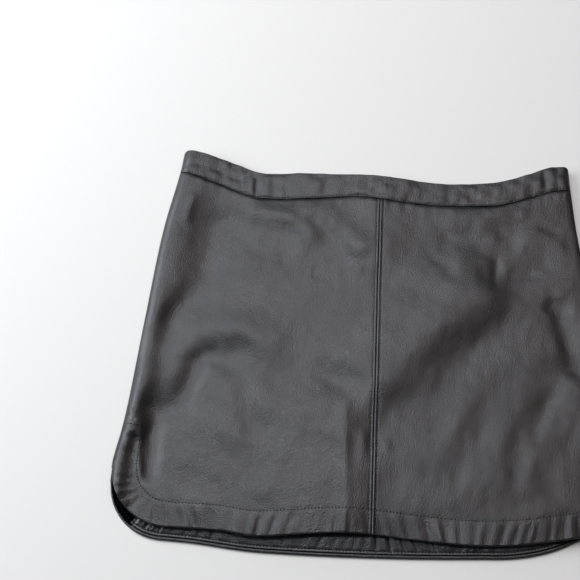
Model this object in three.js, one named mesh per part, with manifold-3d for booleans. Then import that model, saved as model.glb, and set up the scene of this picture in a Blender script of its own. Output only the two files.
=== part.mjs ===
// Leather mini skirt, laid flat with its front up, in millimetres.
// The frame: +X to the right of the front, +Y to the waist, +Z up, origin on the surface under its middle.
import * as THREE from 'three';
import { mergeVertices } from 'three/addons/utils/BufferGeometryUtils.js';
import Module from 'manifold-3d';

// Leather and seams
const LEATHER = 1.5;
const BAND_LEATHER = 2.0;
const FACING_LEATHER = 1.0;
const SEAM_GAP = 0.3;
const SIDE_SEAM_HEIGHT = 5;

// Waist: the band's lower seam and its top edge, which dips over the front
const WAIST = [
  { x: -195, seam: 174, top: 199 },
  { x: -174, seam: 167.5, top: 196 },
  { x: -155, seam: 162, top: 191 },
  { x: -136, seam: 154.5, top: 185 },
  { x: -114, seam: 148.8, top: 177.6 },
  { x: -76, seam: 149.5, top: 178.5 },
  { x: -18, seam: 153.6, top: 178.5 },
  { x: 5, seam: 151.4, top: 177.6 },
  { x: 33, seam: 148.7, top: 174.8 },
  { x: 63, seam: 146.7, top: 172 },
  { x: 93, seam: 147.7, top: 173 },
  { x: 123, seam: 149.8, top: 176.6 },
  { x: 153, seam: 159.3, top: 186 },
  { x: 174, seam: 166.5, top: 194.4 },
  { x: 193, seam: 169, top: 195.6 },
];
const BAND_CORNER = 4;

// Half width at each height, out to the side folds
const LEFT_SIDE = [
  { y: -136, half: 236.4 },
  { y: -120, half: 235.5 },
  { y: -90, half: 229.9 },
  { y: -62, half: 226.1 },
  { y: 19, half: 217.7 },
  { y: 110, half: 207.5 },
  { y: 175, half: 195.3 },
  { y: 197, half: 192.5 },
];
const RIGHT_SIDE = [
  { y: -136, half: 236.4 },
  { y: -62, half: 226 },
  { y: 19, half: 212 },
  { y: 107, half: 198 },
  { y: 170, half: 193.4 },
  { y: 197, half: 192.5 },
];
const SLIT_TOP = -90;
const SLIT_RELAX = 30;

// Front hem, gently waved between its round corners
const FRONT_HEM = [
  { x: -175, y: -182 },
  { x: -135, y: -181 },
  { x: -107, y: -185 },
  { x: -40, y: -180.4 },
  { x: -4, y: -180.4 },
  { x: 36, y: -184 },
  { x: 85, y: -187 },
  { x: 126, y: -185 },
  { x: 154, y: -181 },
  { x: 175, y: -177 },
];
const FRONT_CORNER = 60;
const FRONT_SEAM_LEAN = 0.025;

// Back hem, longer than the front and swung a little to the left
const BACK_HEM = { middle: -10, lowest: -199, rise: 5, reach: 160 };
const BACK_LEFT_CORNER = { x: -178, radius: 58 };
const BACK_RIGHT_CORNER = { x: 95, reach: 133.9, top: -90, power: 2.2 };
const FACING_DEPTH = 28;
const FACING_INSET = 1;

// Height of the front's face over the surface
const FRONT_LEVEL = 5.8;
const HEM_LIFT = { rise: 1.7, from: -125, over: 45 };
const WAIST_LIFT = { rise: 1.3, from: 105, over: 40 };
const ZIP_BUMP = { rise: 2.4, halfWidth: 34, from: 55, over: 50 };
const SIDE_PUFF = { rise: 3.7, middle: 10, width: 15 };
const FRONT_ROLL = 10;
const BACK_ROLL = 7;
const LEAST_LEVEL = 3.6;

// Folds of the front: each follows its path, with one width to the left of the path and one to the right
const FOLDS = [
  { path: [[128, 66], [50, -1], [-20, -56]], left: 17, right: 44, height: 3.9, fade: 34 },
  { path: [[-24, -44], [-29, -75], [-28, -190]], left: 11, right: 9, height: 2.7, fade: 16 },
  { path: [[-196, 152], [-180, 95], [-173, 40], [-204, -30]], left: 13, right: 10, height: -2.1, fade: 26 },
  { path: [[-206, -34], [-188, -2], [-158, 13], [-90, -4]], left: 22, right: 10, height: 2.6, fade: 24 },
  { path: [[-214, -62], [-184, -45], [-163, -18], [-132, 0]], left: 8, right: 13, height: -1.5, fade: 20 },
  { path: [[-138, -24], [-139, -130]], left: 9, right: 14, height: 2.1, fade: 30 },
  { path: [[-112, -14], [-98, -92]], left: 8, right: 15, height: 1.8, fade: 26 },
  { path: [[-204, -56], [-199, -110], [-203, -150]], left: 9, right: 8, height: -1.6, fade: 20 },
  { path: [[-112, 136], [-70, 135], [-26, 134]], left: 8, right: 9, height: 1.3, fade: 14 },
  { path: [[166, 64], [174, 24], [184, -34]], left: 8, right: 11, height: -2, fade: 20 },
  { path: [[186, -30], [192, -96]], left: 9, right: 12, height: 1.7, fade: 20 },
  { path: [[152, -42], [128, -128]], left: 15, right: 10, height: 1.6, fade: 30 },
  { path: [[104, -62], [74, -140]], left: 14, right: 10, height: 1.4, fade: 28 },
];

// Concealed zip at centre back, closed, its pull lying between the leather and the surface
const ZIP = { halfWidth: 12, top: 176, bottom: -2, tape: 0.6 };
const COIL = { height: 1.6, halfWidth: 2, halfTop: 1.6 };
const BAND_STEP = { below: 16, over: 14 };
const BACK_LIFT = { rise: 2.8, flat: 13, fade: 30, from: 88, over: 30 };
const BAND_OPENING = 0.9;
const SLIDER = { y: 168, halfLength: 4, halfBottom: 2.8, halfWidth: 4, widest: 1.2, halfTop: 3.2, height: 2.2 };
const NECK = { width: 1, length: 5, floor: 0.5, intoBody: 0.5 };
const PIVOT = { height: 1.6, hole: 0.8, pin: 0.5 };
const PULL = { halfWidth: 3, halfShoulder: 2.4, length: 22, thick: 0.9, floor: 0.55 };
const PULL_ARM = { inside: 1.1, top: -0.2, length: 5, lug: 0.95 };

// How finely the cloth is divided
const HALF_WIDTH = 212;
const ROLL_STEPS = 6;
const FRONT_COLUMNS = [13, 18, 24, 31, 39, 48];
const FRONT_COLUMN_STEP = 9.2;
const BACK_COLUMNS = [18, 32, 50];
const BACK_COLUMN_STEP = 13.5;
const FRONT_ROWS = 26;
const BACK_ROWS = 18;
const BAND_ROWS = 3;
const FACING_ROWS = 2;
const FACING_STEPS = 30;
const FACING_END_TURN = 0.94 * (Math.PI / 2);
const HEM_PROBE = 0.05;
const ZIP_ROWS = 24;
const BISECTIONS = 40;
const REACH = 260;
const QUARTER_TURN = Math.PI / 2;
const ROD_SIDES = 24;
const NOTCH_SPARE = 5;
const NOTCH_HEIGHT = 12;

const leather = new THREE.MeshStandardMaterial({ color: 0x35353a, roughness: 0.48, metalness: 0 });
const facingLeather = new THREE.MeshStandardMaterial({ color: 0x2c2c30, roughness: 0.55, metalness: 0 });
const tapeCloth = new THREE.MeshStandardMaterial({ color: 0x1a1a1c, roughness: 0.85, metalness: 0 });
const enamel = new THREE.MeshStandardMaterial({ color: 0x202024, roughness: 0.3, metalness: 0.6 });

const wasm = await Module();
wasm.setup();

const clamp = (value) => Math.min(1, Math.max(0, value));

function smooth(value) {
  const t = clamp(value);
  return t * t * (3 - 2 * t);
}

function mix(a, b, share) {
  return a + (b - a) * share;
}

// A smooth curve through a table's rows, read in one column at a place in another
function through(table, key, at, column) {
  const last = table.length - 1;
  const place = Math.min(table[last][key], Math.max(table[0][key], at));
  let row = 0;
  while (row < last - 1 && place > table[row + 1][key]) row += 1;
  const slope = (i) => {
    const before = table[Math.max(0, i - 1)];
    const after = table[Math.min(last, i + 1)];
    return (after[column] - before[column]) / (after[key] - before[key]);
  };
  const low = table[row];
  const high = table[row + 1];
  const span = high[key] - low[key];
  const t = (place - low[key]) / span;
  const square = t * t;
  const cube = square * t;
  const start = (2 * cube - 3 * square + 1) * low[column] + (cube - 2 * square + t) * span * slope(row);
  const end = (3 * square - 2 * cube) * high[column] + (cube - square) * span * slope(row + 1);
  return start + end;
}

const waistSeam = (x) => through(WAIST, 'x', x, 'seam');

function waistTop(x, fromSide) {
  const inCorner = Math.max(0, BAND_CORNER - fromSide);
  const drop = BAND_CORNER - Math.sqrt(BAND_CORNER ** 2 - inCorner ** 2);
  return through(WAIST, 'x', x, 'top') - drop;
}

function sideX(side, y) {
  const table = side < 0 ? LEFT_SIDE : RIGHT_SIDE;
  return side * through(table, 'y', y, 'half');
}

function frontHem(x) {
  const edge = FRONT_HEM[FRONT_HEM.length - 1].x;
  const beyond = Math.min(FRONT_CORNER, Math.max(0, Math.abs(x) - edge));
  const corner = FRONT_CORNER - Math.sqrt(FRONT_CORNER ** 2 - beyond ** 2);
  return through(FRONT_HEM, 'x', x, 'y') + corner;
}

function backHem(x) {
  const base = (at) => BACK_HEM.lowest + BACK_HEM.rise * ((at - BACK_HEM.middle) / BACK_HEM.reach) ** 2;
  const left = BACK_LEFT_CORNER;
  if (x < left.x) {
    const beyond = Math.min(left.radius, left.x - x);
    return base(left.x) + left.radius - Math.sqrt(left.radius ** 2 - beyond ** 2);
  }
  const right = BACK_RIGHT_CORNER;
  if (x > right.x) {
    const across = clamp((x - right.x) / right.reach);
    const fall = (1 - across ** right.power) ** (1 / right.power);
    return right.top - (right.top - base(right.x)) * fall;
  }
  return base(x);
}

const frontSeamX = (y) => FRONT_SEAM_LEAN * y;
const backSeamX = () => 0;

// Distance of a place from a fold's path, its side of the path, and how far along the path it is
function nearPath(path, x, y) {
  let best = { distance: Infinity, left: false, along: 0 };
  let walked = 0;
  for (let i = 0; i + 1 < path.length; i += 1) {
    const [ax, ay] = path[i];
    const dx = path[i + 1][0] - ax;
    const dy = path[i + 1][1] - ay;
    const length = Math.hypot(dx, dy);
    const share = clamp(((x - ax) * dx + (y - ay) * dy) / length ** 2);
    const distance = Math.hypot(x - ax - share * dx, y - ay - share * dy);
    if (distance < best.distance) {
      const left = dx * (y - ay) - dy * (x - ax) > 0;
      best = { distance, left, along: walked + share * length };
    }
    walked += length;
  }
  return { ...best, total: walked };
}

function foldHeight(x, y) {
  let sum = 0;
  for (const fold of FOLDS) {
    const near = nearPath(fold.path, x, y);
    const width = near.left ? fold.left : fold.right;
    const ends = smooth(near.along / fold.fade) * smooth((near.total - near.along) / fold.fade);
    sum += fold.height * ends * Math.exp(-((near.distance / width) ** 2));
  }
  return sum;
}

// Height of the front's outer face away from its rolled sides
function frontLevel(x, y, fromSide) {
  const hem = HEM_LIFT.rise * smooth((HEM_LIFT.from - y) / HEM_LIFT.over);
  const waist = WAIST_LIFT.rise * smooth((y - WAIST_LIFT.from) / WAIST_LIFT.over);
  const overZip = Math.exp(-((x / ZIP_BUMP.halfWidth) ** 2)) * smooth((y - ZIP_BUMP.from) / ZIP_BUMP.over);
  const puff = SIDE_PUFF.rise * Math.exp(-(((fromSide - SIDE_PUFF.middle) / SIDE_PUFF.width) ** 2));
  const level = FRONT_LEVEL + hem + waist + ZIP_BUMP.rise * overZip + puff + foldHeight(x, y);
  return Math.max(LEAST_LEVEL, level);
}

// Height of the back's outer face, which lies on the surface but for the room round the zip pull
function backLevel(x, y) {
  const across = 1 - smooth((Math.abs(x) - BACK_LIFT.flat) / BACK_LIFT.fade);
  return BACK_LIFT.rise * across * smooth((y - BACK_LIFT.from) / BACK_LIFT.over);
}

// Columns of the cloth's grid: distances from the side at mean width, closest round the rolled side
function columns(roll, near, step) {
  const list = [];
  for (let i = 0; i <= ROLL_STEPS; i += 1) {
    const turn = (i / ROLL_STEPS) * QUARTER_TURN;
    list.push({ turn, distance: roll * (1 - Math.cos(turn)) });
  }
  for (const distance of near) list.push({ turn: QUARTER_TURN, distance });
  const start = near[near.length - 1];
  const count = Math.round((HALF_WIDTH - start) / step);
  for (let i = 1; i <= count; i += 1) {
    list.push({ turn: QUARTER_TURN, distance: mix(start, HALF_WIDTH, i / count) });
  }
  return list;
}

function columnX(side, column, y, seamX) {
  return mix(sideX(side, y), seamX(y), column.distance / HALF_WIDTH);
}

// The height where a column meets an edge curve, found by halving
function meet(side, column, seamX, edge) {
  let low = -REACH;
  let high = REACH;
  for (let i = 0; i < BISECTIONS; i += 1) {
    const middle = (low + high) / 2;
    if (middle < edge(columnX(side, column, middle, seamX), column.distance)) low = middle;
    else high = middle;
  }
  return (low + high) / 2;
}

// Share of the side seam's turn that is left: all above the slit, none on the free edges below it
const seamTurn = (y) => smooth((y - SLIT_TOP + SLIT_RELAX) / SLIT_RELAX);

// One place of a front piece: its outer point and its inner one, a leather's thickness away
function frontPlace(side, column, y, seamX, thick, raise) {
  const edge = sideX(side, y);
  const scale = Math.abs(seamX(y) - edge) / HALF_WIDTH;
  const turn = seamTurn(y);
  const x = columnX(side, column, y, seamX);
  const level = frontLevel(x, y, column.distance * scale) + raise;
  const start = SIDE_SEAM_HEIGHT + SEAM_GAP / 2;
  const innerStart = start - thick * (1 - turn);
  const roll = FRONT_ROLL * scale;
  const innerX = edge - side * (roll - (roll - thick * turn) * Math.cos(column.turn));
  const rolled = column.turn < QUARTER_TURN;
  return {
    upper: [x, y, mix(start, level, Math.sin(column.turn))],
    lower: [rolled ? innerX : x, y, mix(innerStart, level - thick, Math.sin(column.turn))],
  };
}

// One place of a back piece, its outer face down
function backPlace(side, column, y, seamX, thick) {
  const edge = sideX(side, y);
  const scale = Math.abs(seamX(y) - edge) / HALF_WIDTH;
  const turn = seamTurn(y);
  const x = columnX(side, column, y, seamX);
  const level = backLevel(x, y);
  const rise = (SIDE_SEAM_HEIGHT - SEAM_GAP / 2) * turn;
  const innerRise = rise + thick * (1 - turn);
  const roll = BACK_ROLL * scale;
  const innerX = edge - side * (roll - (roll - thick * turn) * Math.cos(column.turn));
  const rolled = column.turn < QUARTER_TURN;
  return {
    upper: [rolled ? innerX : x, y, mix(innerRise, level + thick, Math.sin(column.turn))],
    lower: [x, y, mix(rise, level, Math.sin(column.turn))],
  };
}

// A closed wall between an upper and a lower grid, columns to +X and rows to -Y
function wall(name, grid, material) {
  const across = grid.length;
  const down = grid[0].length;
  const positions = [];
  for (const layer of ['upper', 'lower']) {
    for (const column of grid) {
      for (const place of column) positions.push(...place[layer]);
    }
  }
  const upper = (i, j) => i * down + j;
  const lower = (i, j) => across * down + i * down + j;
  const faces = [];
  const quad = (a, b, c, d) => faces.push(a, b, c, a, c, d);
  for (let i = 0; i + 1 < across; i += 1) {
    for (let j = 0; j + 1 < down; j += 1) {
      quad(upper(i, j), upper(i, j + 1), upper(i + 1, j + 1), upper(i + 1, j));
      quad(lower(i, j), lower(i + 1, j), lower(i + 1, j + 1), lower(i, j + 1));
    }
    quad(upper(i, 0), upper(i + 1, 0), lower(i + 1, 0), lower(i, 0));
    quad(upper(i + 1, down - 1), upper(i, down - 1), lower(i, down - 1), lower(i + 1, down - 1));
  }
  for (let j = 0; j + 1 < down; j += 1) {
    quad(upper(0, j + 1), upper(0, j), lower(0, j), lower(0, j + 1));
    quad(upper(across - 1, j), upper(across - 1, j + 1), lower(across - 1, j + 1), lower(across - 1, j));
  }
  const geometry = new THREE.BufferGeometry();
  geometry.setAttribute('position', new THREE.Float32BufferAttribute(positions, 3));
  geometry.setIndex(faces);
  geometry.computeVertexNormals();
  return named(name, geometry, material);
}

function named(name, geometry, material) {
  const mesh = new THREE.Mesh(geometry, material);
  mesh.name = name;
  return mesh;
}

// Rows of one column between two heights
function rows(side, column, top, bottom, count, place) {
  const list = [];
  for (let j = 0; j <= count; j += 1) {
    list.push(place(side, column, mix(top, bottom, j / count)));
  }
  return list;
}

const half = SEAM_GAP / 2;
const frontColumns = columns(FRONT_ROLL, FRONT_COLUMNS, FRONT_COLUMN_STEP);
const backColumns = columns(BACK_ROLL, BACK_COLUMNS, BACK_COLUMN_STEP);

function halfGrid(side, list, seamX, topEdge, bottomEdge, count, place) {
  const grid = list.map((column) => {
    const top = meet(side, column, seamX, topEdge);
    const bottom = meet(side, column, seamX, bottomEdge);
    return rows(side, column, top, bottom, count, place);
  });
  return side < 0 ? grid : grid.reverse();
}

// Front panels, joined at the centre front seam
function frontPanel(name, side) {
  const seamX = (y) => frontSeamX(y) + side * half;
  const place = (s, column, y) => frontPlace(s, column, y, seamX, LEATHER, 0);
  const top = (x) => waistSeam(x) - half;
  return wall(name, halfGrid(side, frontColumns, seamX, top, frontHem, FRONT_ROWS, place), leather);
}

// Back panels, joined at centre back under the zip
function backPanel(name, side) {
  const seamX = (y) => backSeamX(y) + side * half;
  const place = (s, column, y) => backPlace(s, column, y, seamX, LEATHER);
  const top = (x) => waistSeam(x) - half;
  return wall(name, halfGrid(side, backColumns, seamX, top, backHem, BACK_ROWS, place), leather);
}

// Front waistband, one piece over both fronts
function frontBand(name) {
  const place = (s, column, y) => frontPlace(s, column, y, frontSeamX, BAND_LEATHER, BAND_LEATHER - LEATHER);
  const bottom = (x) => waistSeam(x) + half;
  const left = halfGrid(-1, frontColumns, frontSeamX, waistTop, bottom, BAND_ROWS, place);
  const right = halfGrid(1, frontColumns, frontSeamX, waistTop, bottom, BAND_ROWS, place);
  return wall(name, [...left, ...right.slice(1)], leather);
}

// Back waistbands, which end on each side of the zip
function backBand(name, side) {
  const seamX = (y) => backSeamX(y) + side * BAND_OPENING;
  const place = (s, column, y) => backPlace(s, column, y, seamX, BAND_LEATHER);
  const bottom = (x) => waistSeam(x) + half;
  return wall(name, halfGrid(side, backColumns, seamX, waistTop, bottom, BAND_ROWS, place), leather);
}

// Facing inside the back hem: a strip along the hem's curve, lying on the back panel
function hemFacing(name, side) {
  const place = (x) => new THREE.Vector2(x, backHem(x));
  const left = BACK_LEFT_CORNER;
  const right = BACK_RIGHT_CORNER;
  const reach = side < 0 ? left.x - left.radius : right.x + right.reach;
  const bend = side < 0 ? left.x : right.x;
  const list = [];
  for (let i = 0; i <= FACING_STEPS; i += 1) {
    const share = i / FACING_STEPS;
    const turn = Math.max(0, 2 * share - 1) * FACING_END_TURN;
    const x = share < 0.5 ? mix(side * half, bend, 2 * share) : mix(bend, reach, Math.sin(turn));
    const along = place(x + HEM_PROBE).sub(place(x - HEM_PROBE)).normalize();
    const inward = new THREE.Vector2(-along.y, along.x);
    const edge = place(x);
    const column = [];
    for (let j = FACING_ROWS; j >= 0; j -= 1) {
      const depth = mix(FACING_INSET, FACING_DEPTH, j / FACING_ROWS);
      const x0 = i === 0 ? x : edge.x + inward.x * depth;
      const y0 = edge.y + inward.y * depth;
      const under = LEATHER + SEAM_GAP;
      column.push({ upper: [x0, y0, under + FACING_LEATHER], lower: [x0, y0, under] });
    }
    list.push(column);
  }
  return wall(name, side < 0 ? list.reverse() : list, facingLeather);
}

// Solids joined and cut where a piece needs it
function solid(geometry) {
  const bare = geometry.clone();
  bare.deleteAttribute('normal');
  if (bare.attributes.uv) bare.deleteAttribute('uv');
  const merged = mergeVertices(bare, 1e-4);
  const vertProperties = new Float32Array(merged.attributes.position.array);
  const triVerts = new Uint32Array(merged.index.array);
  return new wasm.Manifold(new wasm.Mesh({ numProp: 3, vertProperties, triVerts }));
}

function backToGeometry(body) {
  const mesh = body.getMesh();
  const geometry = new THREE.BufferGeometry();
  geometry.setAttribute('position', new THREE.Float32BufferAttribute(mesh.vertProperties, 3));
  geometry.setIndex(Array.from(mesh.triVerts));
  geometry.computeVertexNormals();
  return geometry;
}

function boxAt(x, y, z, width, length, height) {
  return new THREE.BoxGeometry(width, length, height).translate(x, y, z);
}

function rodAcross(radius, width, y, z) {
  const rod = new THREE.CylinderGeometry(radius, radius, width, ROD_SIDES);
  return rod.rotateZ(QUARTER_TURN).translate(0, y, z);
}

// Height of the zip's tape, which steps up onto the thicker waistband
function zipFloor(y) {
  const onBand = smooth((y - waistSeam(0) + BAND_STEP.below) / BAND_STEP.over);
  return backLevel(0, y) + mix(LEATHER, BAND_LEATHER, onBand) + SEAM_GAP;
}

// Zip tape with its closed coil as a ridge, notched round the slider
function zipTape(name) {
  const outward = [COIL.halfTop, COIL.halfWidth, ZIP.halfWidth];
  const stations = [...outward.map((x) => -x).reverse(), ...outward];
  const grid = stations.map((x) => {
    const column = [];
    for (let j = 0; j <= ZIP_ROWS; j += 1) {
      const y = mix(ZIP.top, ZIP.bottom, j / ZIP_ROWS);
      const inCoil = Math.abs(x) < COIL.halfWidth;
      const floor = zipFloor(y);
      column.push({ upper: [x, y, floor + (inCoil ? COIL.height : ZIP.tape)], lower: [x, y, floor] });
    }
    return column;
  });
  const strip = wall(name, grid, tapeCloth);
  const low = SLIDER.y - SLIDER.halfLength - SEAM_GAP;
  const high = ZIP.top + NOTCH_SPARE;
  const width = 2 * (SLIDER.halfWidth + SEAM_GAP);
  const notch = boxAt(0, (low + high) / 2, zipFloor(SLIDER.y), width, high - low, NOTCH_HEIGHT);
  strip.geometry = backToGeometry(solid(strip.geometry).subtract(solid(notch)));
  return strip;
}

// Slider: a body round the coil's end and a neck through the waistband's opening, pierced for the pull's pin
function zipSlider(name) {
  const floor = zipFloor(SLIDER.y);
  const outline = new THREE.Shape();
  outline.moveTo(-SLIDER.halfBottom, -SLIDER.halfLength);
  outline.lineTo(SLIDER.halfBottom, -SLIDER.halfLength);
  outline.lineTo(SLIDER.halfWidth, SLIDER.widest);
  outline.lineTo(SLIDER.halfTop, SLIDER.halfLength);
  outline.lineTo(-SLIDER.halfTop, SLIDER.halfLength);
  outline.lineTo(-SLIDER.halfWidth, SLIDER.widest);
  outline.closePath();
  const body = new THREE.ExtrudeGeometry(outline, { depth: SLIDER.height, bevelEnabled: false });
  body.translate(0, SLIDER.y, floor);
  const neckHeight = floor + NECK.intoBody - NECK.floor;
  const neck = boxAt(0, SLIDER.y, NECK.floor + neckHeight / 2, NECK.width, NECK.length, neckHeight);
  const hole = rodAcross(PIVOT.hole, 2 * SLIDER.halfWidth, SLIDER.y, PIVOT.height);
  return named(name, backToGeometry(solid(body).add(solid(neck)).subtract(solid(hole))), enamel);
}

// Pull: a teardrop plate with two arms and the pin between them
function zipPull(name) {
  const outline = new THREE.Shape();
  const round = PULL.halfWidth;
  const shoulder = PULL.halfShoulder;
  const arm = PULL_ARM.inside;
  outline.moveTo(-shoulder, PULL_ARM.top);
  outline.lineTo(-arm, PULL_ARM.top);
  outline.lineTo(-arm, -PULL_ARM.length);
  outline.lineTo(arm, -PULL_ARM.length);
  outline.lineTo(arm, PULL_ARM.top);
  outline.lineTo(shoulder, PULL_ARM.top);
  outline.lineTo(shoulder, -PULL_ARM.length);
  outline.lineTo(round, round - PULL.length);
  outline.absarc(0, round - PULL.length, round, 0, -Math.PI, true);
  outline.lineTo(-shoulder, -PULL_ARM.length);
  outline.closePath();
  const plate = new THREE.ExtrudeGeometry(outline, { depth: PULL.thick, bevelEnabled: false });
  plate.translate(0, SLIDER.y, PULL.floor);
  const armWidth = shoulder - arm;
  let body = solid(plate);
  for (const side of [-1, 1]) {
    const lug = rodAcross(PULL_ARM.lug, armWidth, SLIDER.y, PIVOT.height);
    body = body.add(solid(lug.translate(side * (arm + armWidth / 2), 0, 0)));
  }
  const pin = rodAcross(PIVOT.pin, 2 * arm + armWidth, SLIDER.y, PIVOT.height);
  return named(name, backToGeometry(body.add(solid(pin))), enamel);
}

const skirt = new THREE.Group();
skirt.name = 'leather_mini_skirt';
skirt.add(frontPanel('front_panel_left', -1));
skirt.add(frontPanel('front_panel_right', 1));
skirt.add(backPanel('back_panel_left', -1));
skirt.add(backPanel('back_panel_right', 1));
skirt.add(frontBand('waistband_front'));
skirt.add(backBand('waistband_back_left', -1));
skirt.add(backBand('waistband_back_right', 1));
skirt.add(hemFacing('back_hem_facing_left', -1));
skirt.add(hemFacing('back_hem_facing_right', 1));
skirt.add(zipTape('zip_tape'));
skirt.add(zipSlider('zip_slider'));
skirt.add(zipPull('zip_pull'));

export default skirt;
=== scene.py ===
import math

import bpy
import numpy as np
from mathutils import Matrix, Vector


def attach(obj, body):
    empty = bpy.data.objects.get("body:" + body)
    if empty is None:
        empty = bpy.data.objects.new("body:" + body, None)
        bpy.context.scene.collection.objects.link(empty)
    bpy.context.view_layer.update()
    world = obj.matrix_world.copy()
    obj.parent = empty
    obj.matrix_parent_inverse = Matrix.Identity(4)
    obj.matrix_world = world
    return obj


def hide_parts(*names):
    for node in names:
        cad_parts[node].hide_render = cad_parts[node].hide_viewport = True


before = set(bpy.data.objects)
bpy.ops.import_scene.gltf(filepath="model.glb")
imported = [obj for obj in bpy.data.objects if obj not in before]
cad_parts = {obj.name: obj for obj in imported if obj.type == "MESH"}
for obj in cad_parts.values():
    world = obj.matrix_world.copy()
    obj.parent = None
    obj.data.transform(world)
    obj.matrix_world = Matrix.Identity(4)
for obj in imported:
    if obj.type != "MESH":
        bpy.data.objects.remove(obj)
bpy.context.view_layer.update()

# The view
# The skirt lies on a pale surface and is seen from its hem, from well above. The camera is turned a little,
# and the skirt runs out of the right edge of the picture.
VIEW_TARGET = Vector((-0.0822, 0.0542, 0.0))
VIEW_DISTANCE = 1.1214
VIEW_ELEVATION = math.radians(66)
VIEW_ROLL = math.radians(1.9)
VIEW_LENS = 72.62

back = Vector((0, -math.cos(VIEW_ELEVATION), math.sin(VIEW_ELEVATION)))
level_up = Vector((0, math.sin(VIEW_ELEVATION), math.cos(VIEW_ELEVATION)))
right = Vector((math.cos(VIEW_ROLL), 0, 0)) + level_up * math.sin(VIEW_ROLL)
up = back.cross(right)
camera = bpy.data.objects.new("camera", bpy.data.cameras.new("camera"))
camera.data.lens = VIEW_LENS
turned = Matrix((right, up, back)).transposed().to_4x4()
camera.matrix_world = Matrix.Translation(VIEW_TARGET + back * VIEW_DISTANCE) @ turned
bpy.context.scene.collection.objects.link(camera)
bpy.context.scene.camera = camera

# Front panels
# Two pieces of garment leather about 1.5 mm thick with its turnings, cut to flare from waist to hem and sewn
# together at centre front. They lie on the back, rolled over at the side seams, with the folds of handling.
LEATHER = 1.5
SEAM_GAP = 0.3
SIDE_SEAM_HEIGHT = 5.0
MEAN_HALF_WIDTH = 212.0

# Columns: x, height of the band's lower seam, height of its top edge
WAIST = np.array([
    (-195, 174, 199), (-174, 167.5, 196), (-155, 162, 191), (-136, 154.5, 185), (-114, 148.8, 177.6),
    (-76, 149.5, 178.5), (-18, 153.6, 178.5), (5, 151.4, 177.6), (33, 148.7, 174.8), (63, 146.7, 172),
    (93, 147.7, 173), (123, 149.8, 176.6), (153, 159.3, 186), (174, 166.5, 194.4), (193, 169, 195.6)], float)
# Columns: y, half width
SIDES = {
    -1: np.array([(-136, 236.4), (-120, 235.5), (-90, 229.9), (-62, 226.1), (19, 217.7), (110, 207.5),
                  (175, 195.3), (197, 192.5)]),
    1: np.array([(-136, 236.4), (-62, 226), (19, 212), (107, 198), (170, 193.4), (197, 192.5)])}
# Columns: x, y
FRONT_HEM = np.array([
    (-183, -179), (-135, -181), (-107, -185), (-40, -180.4), (-4, -180.4), (36, -184), (85, -187),
    (126, -185), (154, -181), (183, -176)], float)
FRONT_CORNER = 52.0
SEAM_LEAN = 0.025
SLIT_TOP = -90.0
SLIT_RELAX = 30.0
HEM_DEPTH = 22.0
SEAM_STITCH = 3.1

FRONT_LEVEL = 5.8
LEAST_LEVEL = 3.6
LEVEL_BLEND = 3.0
FRONT_ROLL = 10.0
# Rise, its start and its length
HEM_LIFT = (3.7, -50, 120)
WAIST_LIFT = (1.3, 105, 40)
# Rise over the zip, its half width, its start and its length
ZIP_BUMP = (2.4, 34, 55, 50)
# Fullness beside the side seams: its rise at the left and right, then its crest and breadth beside the slit
# and above it, and what the breadth gains towards the waist
SIDE_PUFF = (6.3, 1.0)
PUFF_CREST = (5, 9)
PUFF_BREADTH = (10, 13)
PUFF_GAIN = 14
# Seed, shortest and longest wave, and height of the leather's unevenness
LONG_SWELL = (5, 34, 90, 0.38)
SHORT_SWELL = (8, 10, 26, 0.09)
# Pulls of the hem: their height, what the left corner and the right side add, and their two spacings
HEM_PULL = 1.4
LEFT_PULL = (0.7, -228, 40)
RIGHT_PULL = (0.6, 130, 40)
PULL_SPACING = (12.5, 6.3)
HEM_DROP = 0.2
# Height, distance from the seam line and width of the centre front seam's lips, and depths of the sunk lines
SEAM_LIP = (0.35, 1.3, 0.8)
STITCH_GROOVE = 0.15
HEM_GROOVE = 0.2
WAIST_GROOVE = 0.7

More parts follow.
